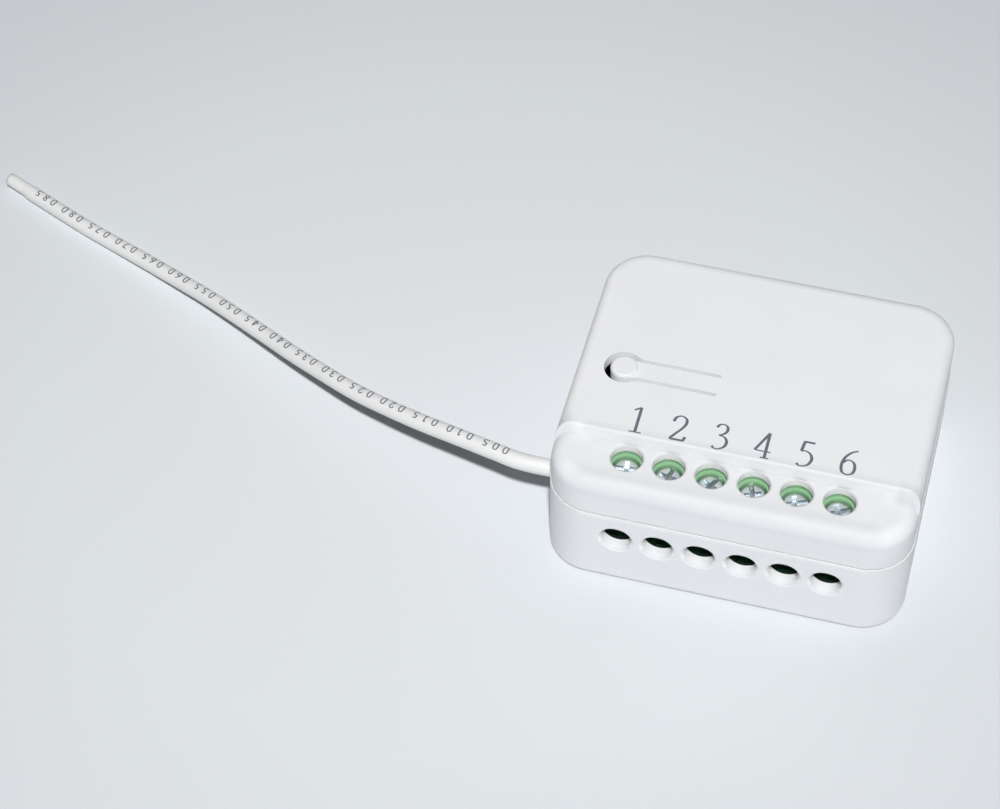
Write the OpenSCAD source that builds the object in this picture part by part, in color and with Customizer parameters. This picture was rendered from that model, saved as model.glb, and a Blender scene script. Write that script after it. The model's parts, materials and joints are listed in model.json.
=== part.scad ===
// In-wall relay module: a two-part moulded case with six screw terminals,
// a sprung push tongue in the cover and a thin antenna lead.
// The origin is at the centre of the underside, +Z is up and the wire holes face -Y.

/* [Case] */
// Width of the case from side to side
case_w = 44; // [39.6:0.1:54]
// Depth of the case from front to back
case_d = 37.4; // [33.7:0.1:48]
// Height of the case
case_h = 18.5; // [16.7:0.1:23]
// Height of the cover above the parting line
cover_h = 6.7; // [6:0.1:7.4]
// Plan radius of the case's corners
corner_r = 5.6; // [4.6:0.1:6.4]
// Thickness of the side walls
wall_t = 2; // [1.8:0.1:2.4]
// Thickness of the floor
floor_t = 1.6; // [1.2:0.1:2]
// Thickness of the roof
roof_t = 1.5; // [1.2:0.1:1.7]
// Radius of the cover's top edges
edge_r = 1.8; // [1:0.1:2.4]
// Radius of the base's bottom edge
foot_r = 0.5; // [0.2:0.1:1]
// How far the cover's walls stand back from the base's walls
cover_inset = 0.15; // [0:0.05:0.3]
// Depth of the lip that locates the cover in the base
lip_h = 1.2; // [1:0.1:1.5]
// Thickness of that lip
lip_t = 0.9; // [0.7:0.1:1.1]
// Radius of the snap ribs on the lip
snap_r = 0.4; // [0.3:0.05:0.45]
// Length of a snap rib
snap_l = 6; // [4:0.5:8]

/* [Terrace] */
// How far the terrace over the screws lies below the roof
terrace_drop = 1.1; // [0.8:0.1:1.4]
// Depth of the slope between terrace and roof
step_run = 0.7; // [0.2:0.05:1]
// Radius of the roof's edge above that slope
step_r = 0.55; // [0.3:0.05:0.8]
// Thickness of the terrace
terrace_t = 1.2; // [1:0.1:1.4]

/* [Terminals] */
// Spacing of the terminals
pitch = 5.08; // [5:0.01:5.2]
// Distance of the screw row from the front wall's inner face
screw_set = 3; // [2.8:0.1:3.4]
// Diameter of the driver holes in the terrace
driver_d = 3.85; // [3.6:0.05:4]
// Diameter of the wire holes in the front wall
wire_d = 3.75; // [3.4:0.05:3.9]
// Width of the chamfer round the wire holes
wire_chamfer = 0.3; // [0.1:0.05:0.5]
// Width of the chamfer round the driver holes
driver_chamfer = 0.2; // [0.1:0.05:0.3]
// Diameter of the screw threads
thread_d = 2.5; // [2:0.1:2.6]
// Diameter of the screw heads
head_d = 3.3; // [3:0.1:3.4]
// Height of the screw heads
head_h = 1.3; // [1.1:0.1:1.5]
// Depth of the screw heads below the top of the block
head_depth = 0.8; // [0.6:0.1:1]
// Diameter of the wide mouths over the screw heads
mouth_d = 4.3; // [4.2:0.05:4.5]
// Depth of those mouths
mouth_depth = 0.65; // [0.4:0.05:0.8]
// Width of the driver slots
slot_w = 0.6; // [0.4:0.1:0.8]
// Depth of the driver slots
slot_depth = 0.7; // [0.5:0.1:0.9]
// Height of a closed clamp's mouth
clamp_pinch = 0.6; // [0.3:0.1:1]
// Gap between the board and an open clamp
cage_gap = 1; // [0.5:0.1:1.2]

/* [Button] */
// Distance of the push pad from the case's left side
pad_set = 6; // [5:0.1:7]
// Place of the push tongue from front to back
tongue_y = -1.15; // [-1.6:0.05:-0.8]
// Radius of the push pad
pad_r = 1.7; // [1.3:0.05:1.85]
// Height of the push pad above the roof
pad_rise = 0.35; // [0.2:0.05:0.5]
// Length of the tongue from its pad to its root
tongue_l = 11.5; // [10:0.1:13]
// Width of the tongue's arm
arm_w = 2.5; // [2:0.1:3]
// Width of the slots beside the arm
arm_slot = 0.45; // [0.3:0.05:0.6]
// Radius of the round opening at the pad
eye_r = 2.4; // [2.1:0.05:2.6]
// Diameter of the post below the pad
post_d = 1.8; // [1.4:0.1:2]

/* [Circuit board] */
// Thickness of the circuit board
board_t = 1.6; // [1.2:0.1:1.7]
// Height of the board above the floor
board_lift = 1.4; // [1.2:0.1:1.5]
// Width of the relay
relay_w = 18.2; // [16.4:0.1:18.4]
// Depth of the relay
relay_d = 10.2; // [10:0.1:10.4]
// Gap between the relay and the roof
relay_headroom = 0.6; // [0.4:0.1:1]
// Gap between the film capacitor and the roof
film_headroom = 1.4; // [0.5:0.1:4]
// Diameter of the bulk capacitor
bulk_d = 5; // [4:0.1:6.3]
// Gap between the bulk capacitor and the roof
bulk_headroom = 1.4; // [0.5:0.1:4]

/* [Antenna lead] */
// Diameter of the lead's sleeve
lead_d = 2.2; // [1.8:0.1:2.4]
// Diameter of the conductor in the sleeve
wire_core_d = 0.8; // [0.5:0.1:1]

/* [Hidden] */
$fn = 64;
over = 0.5;
// Gap between moulded pieces that fit together
fit_gap = 0.1;
// Radial gap of a turning or sliding fit
run_gap = 0.03;
ways = 6;

inner_w = case_w - 2 * wall_t;
inner_d = case_d - 2 * wall_t;
inner_r = corner_r - wall_t;
base_h = case_h - cover_h;
roof_under = case_h - roof_t;
terrace_z = case_h - terrace_drop;
terrace_under = terrace_z - terrace_t;
front_in = -inner_d / 2;
snap_x = inner_w / 2 + lip_t;
snap_y = 6;
snap_z = base_h - lip_h / 2;

board_z = floor_t + board_lift;
board_top = board_z + board_t;
board_gap = 0.3;
// How far leads stand out below the board, and the room round them in it
lead_out = 0.8;
hole_room = 0.3;

// Terminals, from the screw heads down to the clamp floors
screw_y = front_in + screw_set;
step_land = 0.05;
step_y = screw_y + driver_d / 2 + step_land;
step_slope = atan2(terrace_drop, step_run);
// Length that the round edge takes from the roof and from the slope, and its overlap with them
edge_reach = step_r * tan(step_slope / 2);
edge_bite = 0.004;
block_top = terrace_under - fit_gap;
head_top = block_top - head_depth;
head_under = head_top - head_h;
head_gap = 0.05;
web_top = head_under - head_gap;
web_t = 1.05;
pocket_top = web_top - web_t;
cage_wall = 0.5;
cage_roof_t = 1;
cage_floor_t = 0.7;
cage_w = 4;
cage_d = 4.2;
bar_t = 0.6;
bar_gap = 0.3;
cage_stack = cage_roof_t + bar_gap + bar_t + cage_floor_t + cage_gap;
clamp_room = pocket_top - fit_gap - cage_stack - board_top;
clamp_rise = (clamp_room - clamp_pinch) / 2;
clamp_open = clamp_rise + clamp_pinch;
cage_top = pocket_top - fit_gap - clamp_rise;
bar_top = cage_top - cage_roof_t - bar_gap;
bar_under = bar_top - bar_t;
bar_w = 2.4;
pin_w = 1;
screw_tip = bar_top + fit_gap;
cage_floor = bar_under - clamp_open;
wire_z = cage_floor + clamp_open / 2;
block_end = 0.4;
block_w = ways * pitch + 2 * block_end;
block_front = front_in + fit_gap;
pocket_front = screw_y - cage_d / 2 - fit_gap;
window_rise = 0.2;
window_top = wire_z + wire_d / 2 + window_rise;
pocket_reach = 3.5;
pocket_back = screw_y + pocket_reach;
block_wall = 1.5;
block_back = pocket_back + block_wall;

// Posts under the board: two with pegs beside the block, three plain ones
peg_d = 1.2;
peg_rise = 0.6;
post_base_d = 2.4;
peg_set = 3.1;
peg_xy = [(block_w + inner_w) / 4, inner_d / 2 - peg_set];
rest_inset = 1.6;
rest_x = inner_w / 2 - rest_inset;
side_rest_y = 3.5;
back_rest_x = -2.3;
rest_xy = [[rest_x, side_rest_y], [-rest_x, side_rest_y], [back_rest_x, inner_d / 2 - rest_inset]];

// Push tongue and the switch below its pad
pad_x = pad_set - case_w / 2;
root_x = pad_x + tongue_l;
hinge_z = case_h - roof_t / 2;
eye_shift = 0.1;
sweep_r = 3;
// How far the sweeping curves reach into the eye
sweep_bite = 0.02;
rim_r = 0.3;
pad_ledge = 0.05;
press_gap = 0.05;
switch_w = 4.5;
switch_h = 3;
plunger_d = 2;
plunger_rise = 1.3;
plunger_depth = 0.9;
plunger_travel = 0.25;
switch_top = board_top + switch_h;
plunger_top = switch_top + plunger_rise;
switch_leg_xy = [1.8, 1.6];
leg_d = 0.6;

// Three rows behind the block, an equal gap apart: film capacitor, varistor and relay
film_w = 13;
film_d = 5;
varistor_d = 7.4;
varistor_t = 3.6;
row_gap = (inner_d / 2 - block_back - film_d - varistor_t - relay_d) / 4;
film_y = block_back + row_gap + film_d / 2;
varistor_y = film_y + film_d / 2 + row_gap + varistor_t / 2;
relay_y = varistor_y + varistor_t / 2 + row_gap + relay_d / 2;

// Relay: its frame, coil and contacts
relay_h = roof_under - relay_headroom - board_top;
relay_wall = 0.5;
relay_inset = 1.8;
relay_x = inner_w / 2 - relay_inset - relay_w / 2;
relay_left = relay_x - relay_w / 2;
relay_base_t = 1.6;
relay_floor = board_top + relay_base_t;
yoke_t = 0.7;
yoke_w = 7;
yoke_inset = 3.3;
yoke_x = relay_left + relay_w - yoke_inset;
hinge_x = yoke_x + yoke_t / 2;
contact_set = 2.9;
contact_x = relay_left + contact_set;
contact_d = 2;
moving_contact_h = 0.5;
fixed_contact_h = 0.4;
contact_gap = 0.7;
blade_t = 0.6;
blade_w = 5;
contact_right = contact_x + contact_d / 2 + blade_t / 2;
core_d = 3.2;
pole_d = 5.2;
pole_t = 0.6;
air_gap = 0.55;
armature_t = 1;
armature_w = 7;
armature_room = 1.65;
coil_frame_t = relay_base_t + yoke_t + pole_t + air_gap + armature_t;
coil_h = relay_h - relay_wall - armature_room - coil_frame_t;
coil_side_gap = 0.3;
flange_d = relay_d - 2 * (relay_wall + coil_side_gap);
flange_rim = 0.6;
flange_t = 0.5;
coil_d = flange_d - 2 * flange_rim;
coil_x = (contact_right + yoke_x) / 2;
armature_z = relay_floor + yoke_t + coil_h + pole_t + air_gap;
relay_pin_d = 0.8;
relay_pin_xy = [[-7.5, 0], [-2.5, 3.6], [7.5, -3.6], [7.5, 3.6]];

// Front row from right to left, an equal gap apart: film capacitor, bulk capacitor and fuse
film_h = roof_under - film_headroom - board_top;
film_pitch = 10;
bulk_h = roof_under - bulk_headroom - board_top;
bulk_pitch = 2.5;
fuse_d = 2.6;
fuse_l = 7;
fuse_lift = 0.3;
fuse_pitch = 9.5;
fuse_gap = 0.6;
fuse_w = fuse_pitch + leg_d;
front_gap = (inner_w - film_w - bulk_d - fuse_w) / 4;
film_x = inner_w / 2 - front_gap - film_w / 2;
bulk_x = film_x - film_w / 2 - front_gap - bulk_d / 2;
bulk_y = film_y;
fuse_x = bulk_x - bulk_d / 2 - front_gap - fuse_w / 2;
fuse_y = block_back + fuse_gap + fuse_d / 2;

// Radio module on its header, and the components in front of it
radio_size = [14, 11.5, 0.8];
radio_inset = 1.5;
radio_x = radio_inset - inner_w / 2 + radio_size[0] / 2;
radio_y = inner_d / 2 - radio_inset - radio_size[1] / 2;
header_h = 2.5;
header_d = 2;
header_pitch = 2;
header_ways = 6;
header_inset = 1.4;
header_y = radio_y + radio_size[1] / 2 - header_inset;
header_pin_d = 0.5;
header_pin_top = 0.8;
radio_z = board_top + header_h;
shield_size = [11, 7.6, 2];
shield_shift = 1.5;
shield_y = radio_y - shield_shift;
shield_wall = 0.3;
part_gap = 0.5;
radio_front = radio_y - radio_size[1] / 2;
rectifier_size = [4.8, 4, 2];
foot_size = [0.9, 0.7, 0.25];
rectifier_w = rectifier_size[0] + foot_size[0];
rectifier_x = pad_x + switch_w / 2 + part_gap + rectifier_w / 2;
rectifier_y = radio_front - part_gap - rectifier_size[1] / 2;
inductor_d = 4;
inductor_h = 5.5;
inductor_waist_d = 2.9;
inductor_x = rectifier_x + rectifier_w / 2 + part_gap + inductor_d / 2;
inductor_y = radio_front - part_gap - inductor_d / 2;
inductor_pitch = 2.5;
varistor_inset = 8.5;
varistor_x = inner_w / 2 - varistor_inset;
varistor_pitch = 5;
varistor_lift = 1;

// Antenna lead: the centre line of its sleeve, from inside the wall to the free end
lead_y = -10.6;
lead_z = 8.4;
lead_sides = 8;
lead_path = [
    [-18.6, lead_y, lead_z],
    [-26, lead_y, lead_z],
    [-30, -9.8, 8.3],
    [-35, -8.6, 8.1],
    [-40, -7.2, 7.6],
    [-45, -5.5, 7],
    [-50, -3.5, 6.3],
    [-55, -1, 5.6],
    [-60, 1.7, 4.8],
    [-65, 4.6, 4],
    [-70, 7.4, 3.3],
    [-75, 10.1, 2.6],
    [-80, 12.5, 2],
    [-85, 14.8, 1.5],
    [-90, 16.9, 1.2],
    [-95, 18.9, 1.1],
    [-99, 20.6, 1.1],
    [-104, 22.8, 1.1],
    [-109, 25, 1.1],
];
pad_hole_set = 1.2;
pad_hole_x = -block_w / 2 - pad_hole_set;

white = "#E6E8EB";
green = "#4FA35A";
zinc = "#B9C2C8";
tin = "#C9CCCB";
brass = "#C8A85A";
steel = "#8E959B";

function terminal_x(i) = (i - (ways + 1) / 2) * pitch;
// The driver slots were left at a different angle on each screw
function slot_angle(i) = [5, 78, 62, 112, 22, 28][i - 1];
function lead_pair(x, y, gap) = [[x - gap / 2, y], [x + gap / 2, y]];
function film_leads() = lead_pair(film_x, film_y, film_pitch);
function bulk_leads() = lead_pair(bulk_x, bulk_y, bulk_pitch);
function varistor_leads() = lead_pair(varistor_x, varistor_y, varistor_pitch);
function inductor_leads() = lead_pair(inductor_x, inductor_y, inductor_pitch);
function fuse_leads() = lead_pair(fuse_x, fuse_y, fuse_pitch);
function header_x(k) = radio_x + (k - (header_ways + 1) / 2) * header_pitch;
function header_leads() = [for (k = [1:header_ways]) [header_x(k), header_y]];
function relay_pin_places() = [for (p = relay_pin_xy) [relay_x + p[0], relay_y + p[1]]];
function switch_leads() = [
    for (sx = [-1, 1], sy = [-1, 1])
        [pad_x + sx * switch_leg_xy[0], tongue_y + sy * switch_leg_xy[1]]
];

// Plan outline with round corners, centred on the origin
module rounded_rect(w, d, r) {
    square([w - 2 * r, d], center = true);
    square([w, d - 2 * r], center = true);
    for (sx = [-1, 1], sy = [-1, 1])
        translate([sx * (w / 2 - r), sy * (d / 2 - r)]) circle(r);
}

module rounded_prism(w, d, r, z0, z1) {
    translate([0, 0, z0]) linear_extrude(z1 - z0) rounded_rect(w, d, r);
}

// Upright section of width w and height h with its top corners rounded over
module arched_section(w, h, r) {
    translate([-w / 2, 0]) square([w, h - r]);
    translate([r - w / 2, 0]) square([w - 2 * r, h]);
    for (s = [-1, 1]) translate([s * (w / 2 - r), h - r]) circle(r);
}

// Block on the XY plane with round upright corners and its top edges rounded over
module filleted_block(w, d, h, r, edge) {
    rotate([90, 0, 90]) linear_extrude(w - 2 * r, center = true) arched_section(d, h, edge);
    rotate([90, 0, 0]) linear_extrude(d - 2 * r, center = true) arched_section(w, h, edge);
    for (q = [0:3])
        let (sx = q == 0 || q == 3 ? 1 : -1, sy = q < 2 ? 1 : -1)
            translate([sx * (w / 2 - r), sy * (d / 2 - r), 0])
                rotate(90 * q) round_corner(h, r, edge);
}

// Disc on the XY plane with its top edge rounded over
module rounded_disc(r, h, edge) {
    rotate_extrude() intersection() {
        arched_section(2 * r, h, edge);
        square([r, h]);
    }
}

// Quarter turn of the block's edge, for one corner
module round_corner(h, r, edge) {
    rotate_extrude(angle = 90) intersection() {
        arched_section(2 * r, h, edge);
        square([r, h]);
    }
}

// Round eye with an arm that leaves it along +X, joined by sweeping curves
module keyhole(eye, half_w, l) {
    sx = sqrt(pow(eye + sweep_r - sweep_bite, 2) - pow(half_w + sweep_r, 2));
    sy = half_w + sweep_r;
    circle(eye);
    translate([0, -half_w]) square([l, 2 * half_w]);
    for (m = [0, 1]) mirror([0, m]) difference() {
        polygon([[0, 0], [sx, sy], [sx, 0]]);
        translate([sx, sy]) circle(sweep_r);
    }
}

// Cylinder along +Y from y = 0
module y_cylinder(d, l) {
    rotate([-90, 0, 0]) cylinder(d = d, h = l);
}

module base_shell() {
    color(white) {
        difference() {
            translate([0, 0, base_h]) mirror([0, 0, 1])
                filleted_block(case_w, case_d, base_h, corner_r, foot_r);
            rounded_prism(inner_w, inner_d, inner_r, floor_t, base_h + over);
            lip_rebate();
            for (i = [1:ways]) translate([terminal_x(i), -case_d / 2, wire_z]) wire_hole();
            snap_ribs(snap_r + fit_gap, snap_l + 2 * fit_gap);
            lead_hole();
        }
        for (s = [-1, 1]) translate([s * peg_xy[0], -peg_xy[1], 0]) board_post(peg_rise + board_t);
        for (p = rest_xy) translate([p[0], p[1], 0]) board_post(0);
    }
}

module lip_rebate() {
    grow = 2 * (lip_t + fit_gap);
    r = inner_r + lip_t + fit_gap;
    rounded_prism(inner_w + grow, inner_d + grow, r, base_h - lip_h - fit_gap, base_h + over);
}

module wire_hole() {
    translate([0, -over, 0]) y_cylinder(wire_d, wall_t + 2 * over);
    rotate([-90, 0, 0]) cylinder(h = wire_chamfer, d1 = wire_d + 2 * wire_chamfer, d2 = wire_d);
}

module lead_hole() {
    translate([-case_w / 2 - over, lead_y, lead_z]) rotate([0, 90, 0])
        cylinder(d = lead_d + 2 * fit_gap, h = wall_t + 2 * over);
}

// Ribs on the two sides of the lip, or the grooves that take them
module snap_ribs(r, l) {
    for (sx = [-1, 1], sy = [-1, 1])
        translate([sx * snap_x, sy * snap_y - l / 2, snap_z]) y_cylinder(2 * r, l);
}

// Post that carries the board, with a locating peg through it where peg is above zero
module board_post(peg) {
    translate([0, 0, floor_t - over]) cylinder(d = post_base_d, h = board_lift + over);
    if (peg > 0) translate([0, 0, board_z - over]) cylinder(d = peg_d, h = peg + over);
}

module top_cover() {
    color(white) difference() {
        union() {
            cover_outside();
            cover_lip();
            snap_ribs(snap_r, snap_l);
        }
        cover_inside();
        for (i = [1:ways]) translate([terminal_x(i), screw_y, terrace_z]) driver_hole();
        tongue_opening();
    }
}

module cover_lip() {
    w = inner_w + 2 * lip_t;
    d = inner_d + 2 * lip_t;
    rounded_prism(w, d, inner_r + lip_t, base_h - lip_h, base_h + over);
}

// The roof and, in front of the slope, the lower terrace
module cover_outside() {
    w = case_w - 2 * cover_inset;
    d = case_d - 2 * cover_inset;
    r = corner_r - cover_inset;
    translate([0, 0, base_h]) filleted_block(w, d, cover_h - terrace_drop, r, edge_r);
    intersection() {
        translate([0, 0, base_h]) filleted_block(w, d, cover_h, r, edge_r);
        rotate([90, 0, 90]) linear_extrude(case_w + 2 * over, center = true) step_section();
    }
}

// Upright section of the cover behind the terrace: its slope runs on below the terrace's round edge
module step_section() {
    foot_y = step_y - edge_r / tan(step_slope);
    round_y = step_y + step_run + edge_reach;
    polygon([
        [foot_y, terrace_z - edge_r],
        [round_y - edge_reach * (1 + cos(step_slope)), case_h - edge_reach * sin(step_slope)],
        [round_y, case_h],
        [round_y, case_h + over],
        [case_d, case_h + over],
        [case_d, base_h],
        [foot_y, base_h],
    ]);
    translate([round_y, case_h - step_r]) circle(step_r + edge_bite);
}

module cover_inside() {
    rounded_prism(inner_w, inner_d, inner_r, base_h - lip_h - over, terrace_under);
    intersection() {
        rounded_prism(inner_w, inner_d, inner_r, base_h, roof_under);
        translate([-inner_w / 2, step_y + roof_t, base_h]) cube([inner_w, inner_d, case_h]);
    }
}

module driver_hole() {
    translate([0, 0, -terrace_t - over]) cylinder(d = driver_d, h = terrace_t + 2 * over);
    translate([0, 0, -driver_chamfer])
        cylinder(h = driver_chamfer, d1 = driver_d, d2 = driver_d + 2 * driver_chamfer);
}

// Keyhole slot round the tongue and the half-round seat of its root
module tongue_opening() {
    translate([pad_x - eye_shift, tongue_y, roof_under - over])
        linear_extrude(roof_t + 2 * over)
            keyhole(eye_r, arm_w / 2 + arm_slot, tongue_l + eye_shift);
    translate([root_x, tongue_y - arm_w / 2 - fit_gap, hinge_z])
        y_cylinder(roof_t + 2 * run_gap, arm_w + 2 * fit_gap);
}

module button_tongue() {
    color(white) {
        translate([pad_x, tongue_y, roof_under]) linear_extrude(roof_t)
            keyhole(pad_r, arm_w / 2, tongue_l);
        translate([root_x, tongue_y - arm_w / 2, hinge_z]) y_cylinder(roof_t, arm_w);
        translate([pad_x, tongue_y, hinge_z])
            rounded_disc(pad_r - pad_ledge, roof_t / 2 + pad_rise, rim_r);
        translate([pad_x, tongue_y, plunger_top + press_gap])
            cylinder(d = post_d, h = roof_under - plunger_top - press_gap + roof_t / 2);
    }
}

module main_board() {
    w = inner_w - 2 * board_gap;
    d = inner_d - 2 * board_gap;
    color("#2F6B45") difference() {
        rounded_prism(w, d, inner_r - board_gap, board_z, board_top);
        board_holes([for (s = [-1, 1]) [s * peg_xy[0], -peg_xy[1]]], peg_d + 2 * fit_gap);
        board_holes([for (i = [1:ways]) [terminal_x(i), pocket_back - bar_t / 2]], pin_w + 2 * hole_room);
        board_holes(relay_pin_places(), relay_pin_d + hole_room);
        board_holes(film_leads(), leg_d + hole_room);
        board_holes(bulk_leads(), leg_d + hole_room);
        board_holes(varistor_leads(), leg_d + hole_room);
        board_holes(inductor_leads(), leg_d + hole_room);
        board_holes(fuse_leads(), leg_d + hole_room);
        board_holes(switch_leads(), leg_d + hole_room);
        board_holes(header_leads(), header_pin_d + hole_room);
        board_holes([[pad_hole_x, lead_y]], wire_core_d + hole_room);
    }
}

module board_holes(places, d) {
    for (p = places) translate([p[0], p[1], board_z - over]) cylinder(d = d, h = board_t + 2 * over);
}

// Round leads from below the board up to the height z
module board_leads(places, d, z) {
    for (p = places) translate([p[0], p[1], board_z - lead_out])
        cylinder(d = d, h = z - board_z + lead_out);
}

module terminal_block() {
    color(green) difference() {
        translate([-block_w / 2, block_front, board_top])
            cube([block_w, block_back - block_front, block_top - board_top]);
        for (i = [1:ways]) translate([terminal_x(i), 0, 0]) terminal_way();
    }
}

// Hollow of one terminal: stepped head bore, neck, clamp pocket and the window for the wire
module terminal_way() {
    w = cage_w + 2 * fit_gap;
    translate([0, screw_y, block_top - mouth_depth]) cylinder(d = mouth_d, h = mouth_depth + over);
    translate([0, screw_y, web_top]) cylinder(d = head_d + 2 * fit_gap, h = block_top - web_top);
    translate([0, screw_y, pocket_top - over])
        cylinder(d = thread_d + 2 * fit_gap, h = web_t + 2 * over);
    translate([-w / 2, pocket_front, board_top - over])
        cube([w, pocket_back - pocket_front, pocket_top - board_top + over]);
    translate([-w / 2, block_front - over, board_top - over])
        cube([w, pocket_front - block_front + 2 * over, window_top - board_top + over]);
}

// Domed head with a long slot and a short cross slot, over a plain shank
module terminal_screw(i) {
    dome = 0.35;
    cross_l = 2.1;
    color(zinc) translate([terminal_x(i), screw_y, 0]) difference() {
        union() {
            translate([0, 0, head_under]) rounded_disc(head_d / 2, head_h, dome);
            translate([0, 0, screw_tip])
                cylinder(d = thread_d, h = head_under - screw_tip + head_h / 2);
        }
        translate([0, 0, head_top - slot_depth]) rotate(slot_angle(i)) {
            translate([-head_d, -slot_w / 2, 0]) cube([2 * head_d, slot_w, slot_depth + over]);
            translate([-slot_w / 2, -cross_l / 2, 0]) cube([slot_w, cross_l, slot_depth + over]);
        }
    }
}

// Square tube that rises on its screw and draws the wire up against the contact bar
module clamp_cage(i) {
    low = cage_floor - cage_floor_t;
    color(tin) translate([terminal_x(i), screw_y, 0]) difference() {
        translate([-cage_w / 2, -cage_d / 2, low]) cube([cage_w, cage_d, cage_top - low]);
        translate([cage_wall - cage_w / 2, -cage_d / 2 - over, cage_floor])
            cube([cage_w - 2 * cage_wall, cage_d + 2 * over, cage_top - cage_roof_t - cage_floor]);
        translate([0, 0, cage_floor])
            cylinder(d = thread_d + 2 * run_gap, h = cage_top - cage_floor + over);
    }
}

// Fixed bar of each terminal, bent down at the back into a pin through the board
module contact_bars() {
    color(brass) for (i = [1:ways]) translate([terminal_x(i), 0, 0]) {
        l = pocket_back - screw_y + cage_d / 2;
        translate([-bar_w / 2, pocket_back - l, bar_under]) cube([bar_w, l, bar_t]);
        translate([-bar_w / 2, pocket_back - bar_t, board_top])
            cube([bar_w, bar_t, bar_top - board_top]);
        translate([-pin_w / 2, pocket_back - bar_t, board_z - lead_out])
            cube([pin_w, bar_t, board_top - board_z + lead_out + over]);
    }
}

module relay_case() {
    upright_r = 0.8;
    top_r = 0.4;
    color("#2A2C30") translate([relay_x, relay_y, board_top]) difference() {
        filleted_block(relay_w, relay_d, relay_h, upright_r, top_r);
        translate([relay_wall - relay_w / 2, relay_wall - relay_d / 2, -over])
            cube([relay_w - 2 * relay_wall, relay_d - 2 * relay_wall, relay_h - relay_wall + over]);
    }
}

module relay_base() {
    w = relay_w - 2 * (relay_wall + fit_gap);
    d = relay_d - 2 * (relay_wall + fit_gap);
    color("#3A3D42") translate([relay_x - w / 2, relay_y - d / 2, board_top])
        cube([w, d, relay_base_t]);
}

module relay_yoke() {
    l = yoke_x + yoke_t - coil_x + core_d;
    color(steel) {
        translate([coil_x - core_d, relay_y - yoke_w / 2, relay_floor])
            cube([l, yoke_w, yoke_t]);
        translate([yoke_x, relay_y - yoke_w / 2, relay_floor])
            cube([yoke_t, yoke_w, armature_z - relay_floor]);
        translate([hinge_x, relay_y - yoke_w / 2, armature_z]) y_cylinder(yoke_t, yoke_w);
    }
}

module relay_coil() {
    color("#B5652E") translate([coil_x, relay_y, relay_floor + yoke_t]) difference() {
        union() {
            cylinder(d = coil_d, h = coil_h);
            cylinder(d = flange_d, h = flange_t);
            translate([0, 0, coil_h - flange_t]) cylinder(d = flange_d, h = flange_t);
        }
        translate([0, 0, -over]) cylinder(d = core_d + 2 * run_gap, h = coil_h + 2 * over);
    }
}

module relay_core() {
    color(steel) translate([coil_x, relay_y, relay_floor + yoke_t]) {
        cylinder(d = core_d, h = coil_h + pole_t / 2);
        translate([0, 0, coil_h]) cylinder(d = pole_d, h = pole_t);
    }
}

// Plate that rocks on the yoke's round top edge and carries the moving contact
module relay_armature() {
    l = hinge_x - contact_x + contact_d;
    color(tin) {
        difference() {
            translate([contact_x - contact_d / 2, relay_y - armature_w / 2, armature_z])
                cube([l, armature_w, armature_t]);
            translate([hinge_x, relay_y - armature_w / 2 - over, armature_z])
                y_cylinder(yoke_t + 2 * run_gap, armature_w + 2 * over);
        }
        translate([contact_x, relay_y, armature_z - moving_contact_h])
            cylinder(d = contact_d, h = moving_contact_h + armature_t / 2);
    }
}

module relay_contact() {
    top = armature_z - moving_contact_h - contact_gap;
    tab_z = top - fixed_contact_h - blade_t;
    left = contact_x - contact_d / 2 - blade_t / 2;
    color(brass) {
        translate([left, relay_y - blade_w / 2, relay_floor])
            cube([blade_t, blade_w, tab_z - relay_floor + blade_t]);
        translate([left, relay_y - blade_w / 2, tab_z])
            cube([contact_d + blade_t, blade_w, blade_t]);
        translate([contact_x, relay_y, tab_z]) cylinder(d = contact_d, h = top - tab_z);
    }
}

module relay_pins() {
    color(tin) board_leads(relay_pin_places(), relay_pin_d, board_top);
}

module film_capacitor() {
    upright_r = 0.6;
    top_r = 0.4;
    color("#C9A227") {
        translate([film_x, film_y, board_top])
            filleted_block(film_w, film_d, film_h, upright_r, top_r);
        board_leads(film_leads(), leg_d, board_top + over);
    }
}

// Can with a rolled groove near its foot and a rounded top edge
module bulk_capacitor() {
    top_r = 0.5;
    groove_r = 0.4;
    groove_z = 1.6;
    color("#3B4A66") {
        translate([bulk_x, bulk_y, board_top]) difference() {
            rounded_disc(bulk_d / 2, bulk_h, top_r);
            translate([0, 0, groove_z]) rotate_extrude()
                translate([bulk_d / 2 + groove_r / 2, 0]) circle(groove_r);
        }
        board_leads(bulk_leads(), leg_d, board_top + over);
    }
}

// Coated disc on edge
module varistor() {
    z = board_top + varistor_lift + varistor_d / 2;
    color("#2F5FA8") {
        translate([varistor_x, varistor_y, z]) rotate([90, 0, 0]) rotate_extrude() intersection() {
            translate([0, -varistor_t / 2]) arched_disc();
            square([varistor_d, 2 * varistor_t], center = true);
        }
        board_leads(varistor_leads(), leg_d, z);
    }
}

// Half section of the varistor's coating, with round edges
module arched_disc() {
    r = varistor_t / 3;
    square([varistor_d / 2 - r, varistor_t]);
    translate([0, r]) square([varistor_d / 2, varistor_t - 2 * r]);
    for (z = [r, varistor_t - r]) translate([varistor_d / 2 - r, z]) circle(r);
}

// Ceramic tube with end caps, on bent leads
module fuse() {
    cap_l = 1.8;
    cap_grow = 0.2;
    z = board_top + fuse_lift + fuse_d / 2;
    color("#D8D2C4") {
        translate([fuse_x - fuse_l / 2, fuse_y, z]) rotate([0, 90, 0]) {
            cylinder(d = fuse_d - cap_grow, h = fuse_l);
            for (x = [0, fuse_l - cap_l]) translate([0, 0, x]) cylinder(d = fuse_d, h = cap_l);
        }
        translate([fuse_x - fuse_pitch / 2, fuse_y, z]) rotate([0, 90, 0])
            cylinder(d = leg_d, h = fuse_pitch);
        board_leads(fuse_leads(), leg_d, z);
        for (p = fuse_leads()) translate([p[0], p[1], z]) sphere(d = leg_d);
    }
}

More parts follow.
